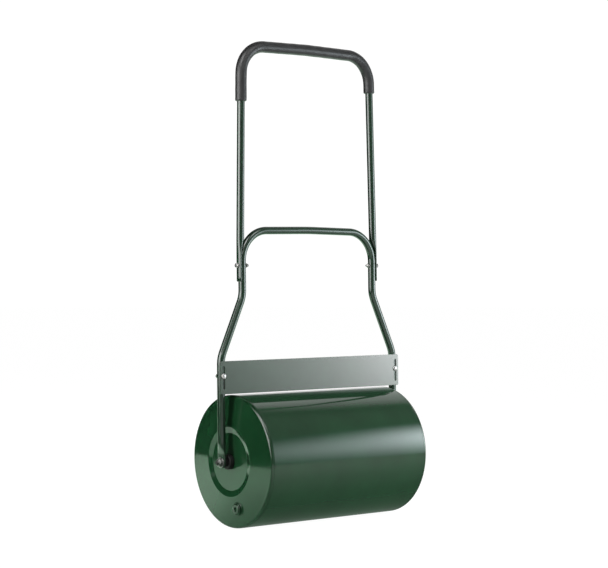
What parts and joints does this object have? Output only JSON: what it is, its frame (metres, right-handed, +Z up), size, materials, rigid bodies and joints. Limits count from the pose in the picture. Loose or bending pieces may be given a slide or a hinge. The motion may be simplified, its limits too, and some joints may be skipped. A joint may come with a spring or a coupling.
{
  "type": "lawn roller",
  "caption": "Push lawn roller: water-fillable steel drum on a fixed axle, bent tube fork, adjustable scraper plate and a bolted tall handle with a foam grip.",
  "frame": {"origin": "on the ground under the middle of the drum", "axes": "+Z up, +X along the axle, +Y behind the roller, the way the handle leans; the scraper is on the -Y side of the fork"},
  "size_m": [0.578, 0.32, 1.1802],
  "materials": {
    "drum_paint": "high gloss dark green enamel",
    "frame_paint": "gloss dark green enamel on bent tube",
    "scraper_paint": "semi-gloss dark green enamel on flat sheet",
    "foam_grip": "soft closed-cell foam, matt",
    "zinc_steel": "bright zinc plate",
    "black_plastic": "black moulded plastic",
    "rubber_seal": "black rubber ring"
  },
  "bodies": {
    "frame": {"lower_frame": "frame_paint", "upper_handle": "frame_paint", "handle_grip": "foam_grip", "axle_shaft": "zinc_steel", "left_axle_spacer": "black_plastic", "right_axle_spacer": "black_plastic", "left_axle_washer": "zinc_steel", "right_axle_washer": "zinc_steel", "left_axle_nut": "zinc_steel", "right_axle_nut": "zinc_steel", "left_handle_bolt": "zinc_steel", "right_handle_bolt": "zinc_steel", "left_handle_washer": "zinc_steel", "right_handle_washer": "zinc_steel", "left_handle_nut": "zinc_steel", "right_handle_nut": "zinc_steel", "left_scraper_bolt": "zinc_steel", "right_scraper_bolt": "zinc_steel", "left_scraper_washer": "zinc_steel", "right_scraper_washer": "zinc_steel", "left_scraper_nut": "zinc_steel", "right_scraper_nut": "zinc_steel"},
    "drum": {"drum_shell": "drum_paint", "left_end_cap": "drum_paint", "right_end_cap": "drum_paint", "axle_sleeve": "drum_paint", "left_hub_bush": "black_plastic", "right_hub_bush": "black_plastic", "fill_neck": "drum_paint"},
    "plug_seal": {"plug_gasket": "rubber_seal"},
    "plug": {"fill_plug": "black_plastic"},
    "scraper": {"scraper_plate": "scraper_paint"}
  },
  "joints": [
    {"name": "drum_spin", "type": "hinge", "parent": "frame", "child": "drum", "pos_m": [0, 0, 0.16], "axis": [1, 0, 0], "continuous": true},
    {"name": "scraper_slide", "type": "slide", "parent": "frame", "child": "scraper", "axis": [0, 0.0175, 0.9998], "range_m": [-0.0025, 0.028]},
    {"name": "plug_lift", "type": "slide", "parent": "drum", "child": "plug_seal", "axis": [-1, 0, 0], "range_m": [0, 0.008]},
    {"name": "plug_turn", "type": "hinge", "parent": "plug_seal", "child": "plug", "pos_m": [-0.25, -0.0317, 0.04945], "axis": [-1, 0, 0], "range_deg": [0, 720]}
  ],
  "couplings": [
    {"joint": "plug_turn", "follows": "plug_lift", "rad_per_m": 1570.8}
  ]
}
